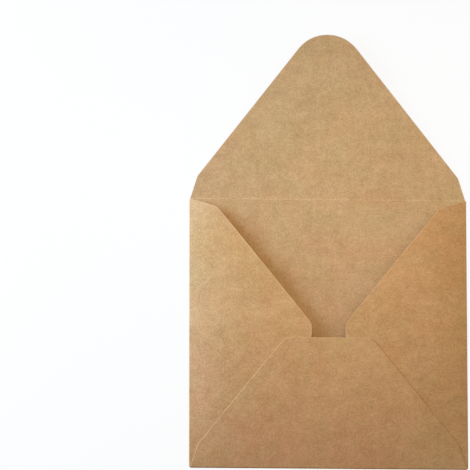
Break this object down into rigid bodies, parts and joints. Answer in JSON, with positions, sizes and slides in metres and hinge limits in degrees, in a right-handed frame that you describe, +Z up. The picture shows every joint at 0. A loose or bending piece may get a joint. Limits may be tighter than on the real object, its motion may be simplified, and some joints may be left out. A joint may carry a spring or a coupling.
{
  "type": "paper envelope",
  "caption": "Square kraft-paper envelope lying flat, with lapped side and bottom flaps, a V-shaped mouth that ends in a slot, and an open pointed top flap with a round tip.",
  "frame": {"origin": "centre of the open envelope's outline, on the surface that it lies on", "axes": "+X across the envelope, +Y from the bottom fold to the tip of the open top flap, +Z up, away from the face panel"},
  "size_m": [0.14, 0.2258, 0.0056],
  "materials": {
    "kraft_paper": "matte, unbleached brown, fine fibres"
  },
  "bodies": {
    "root": {"envelope": "kraft_paper"}
  },
  "joints": []
}
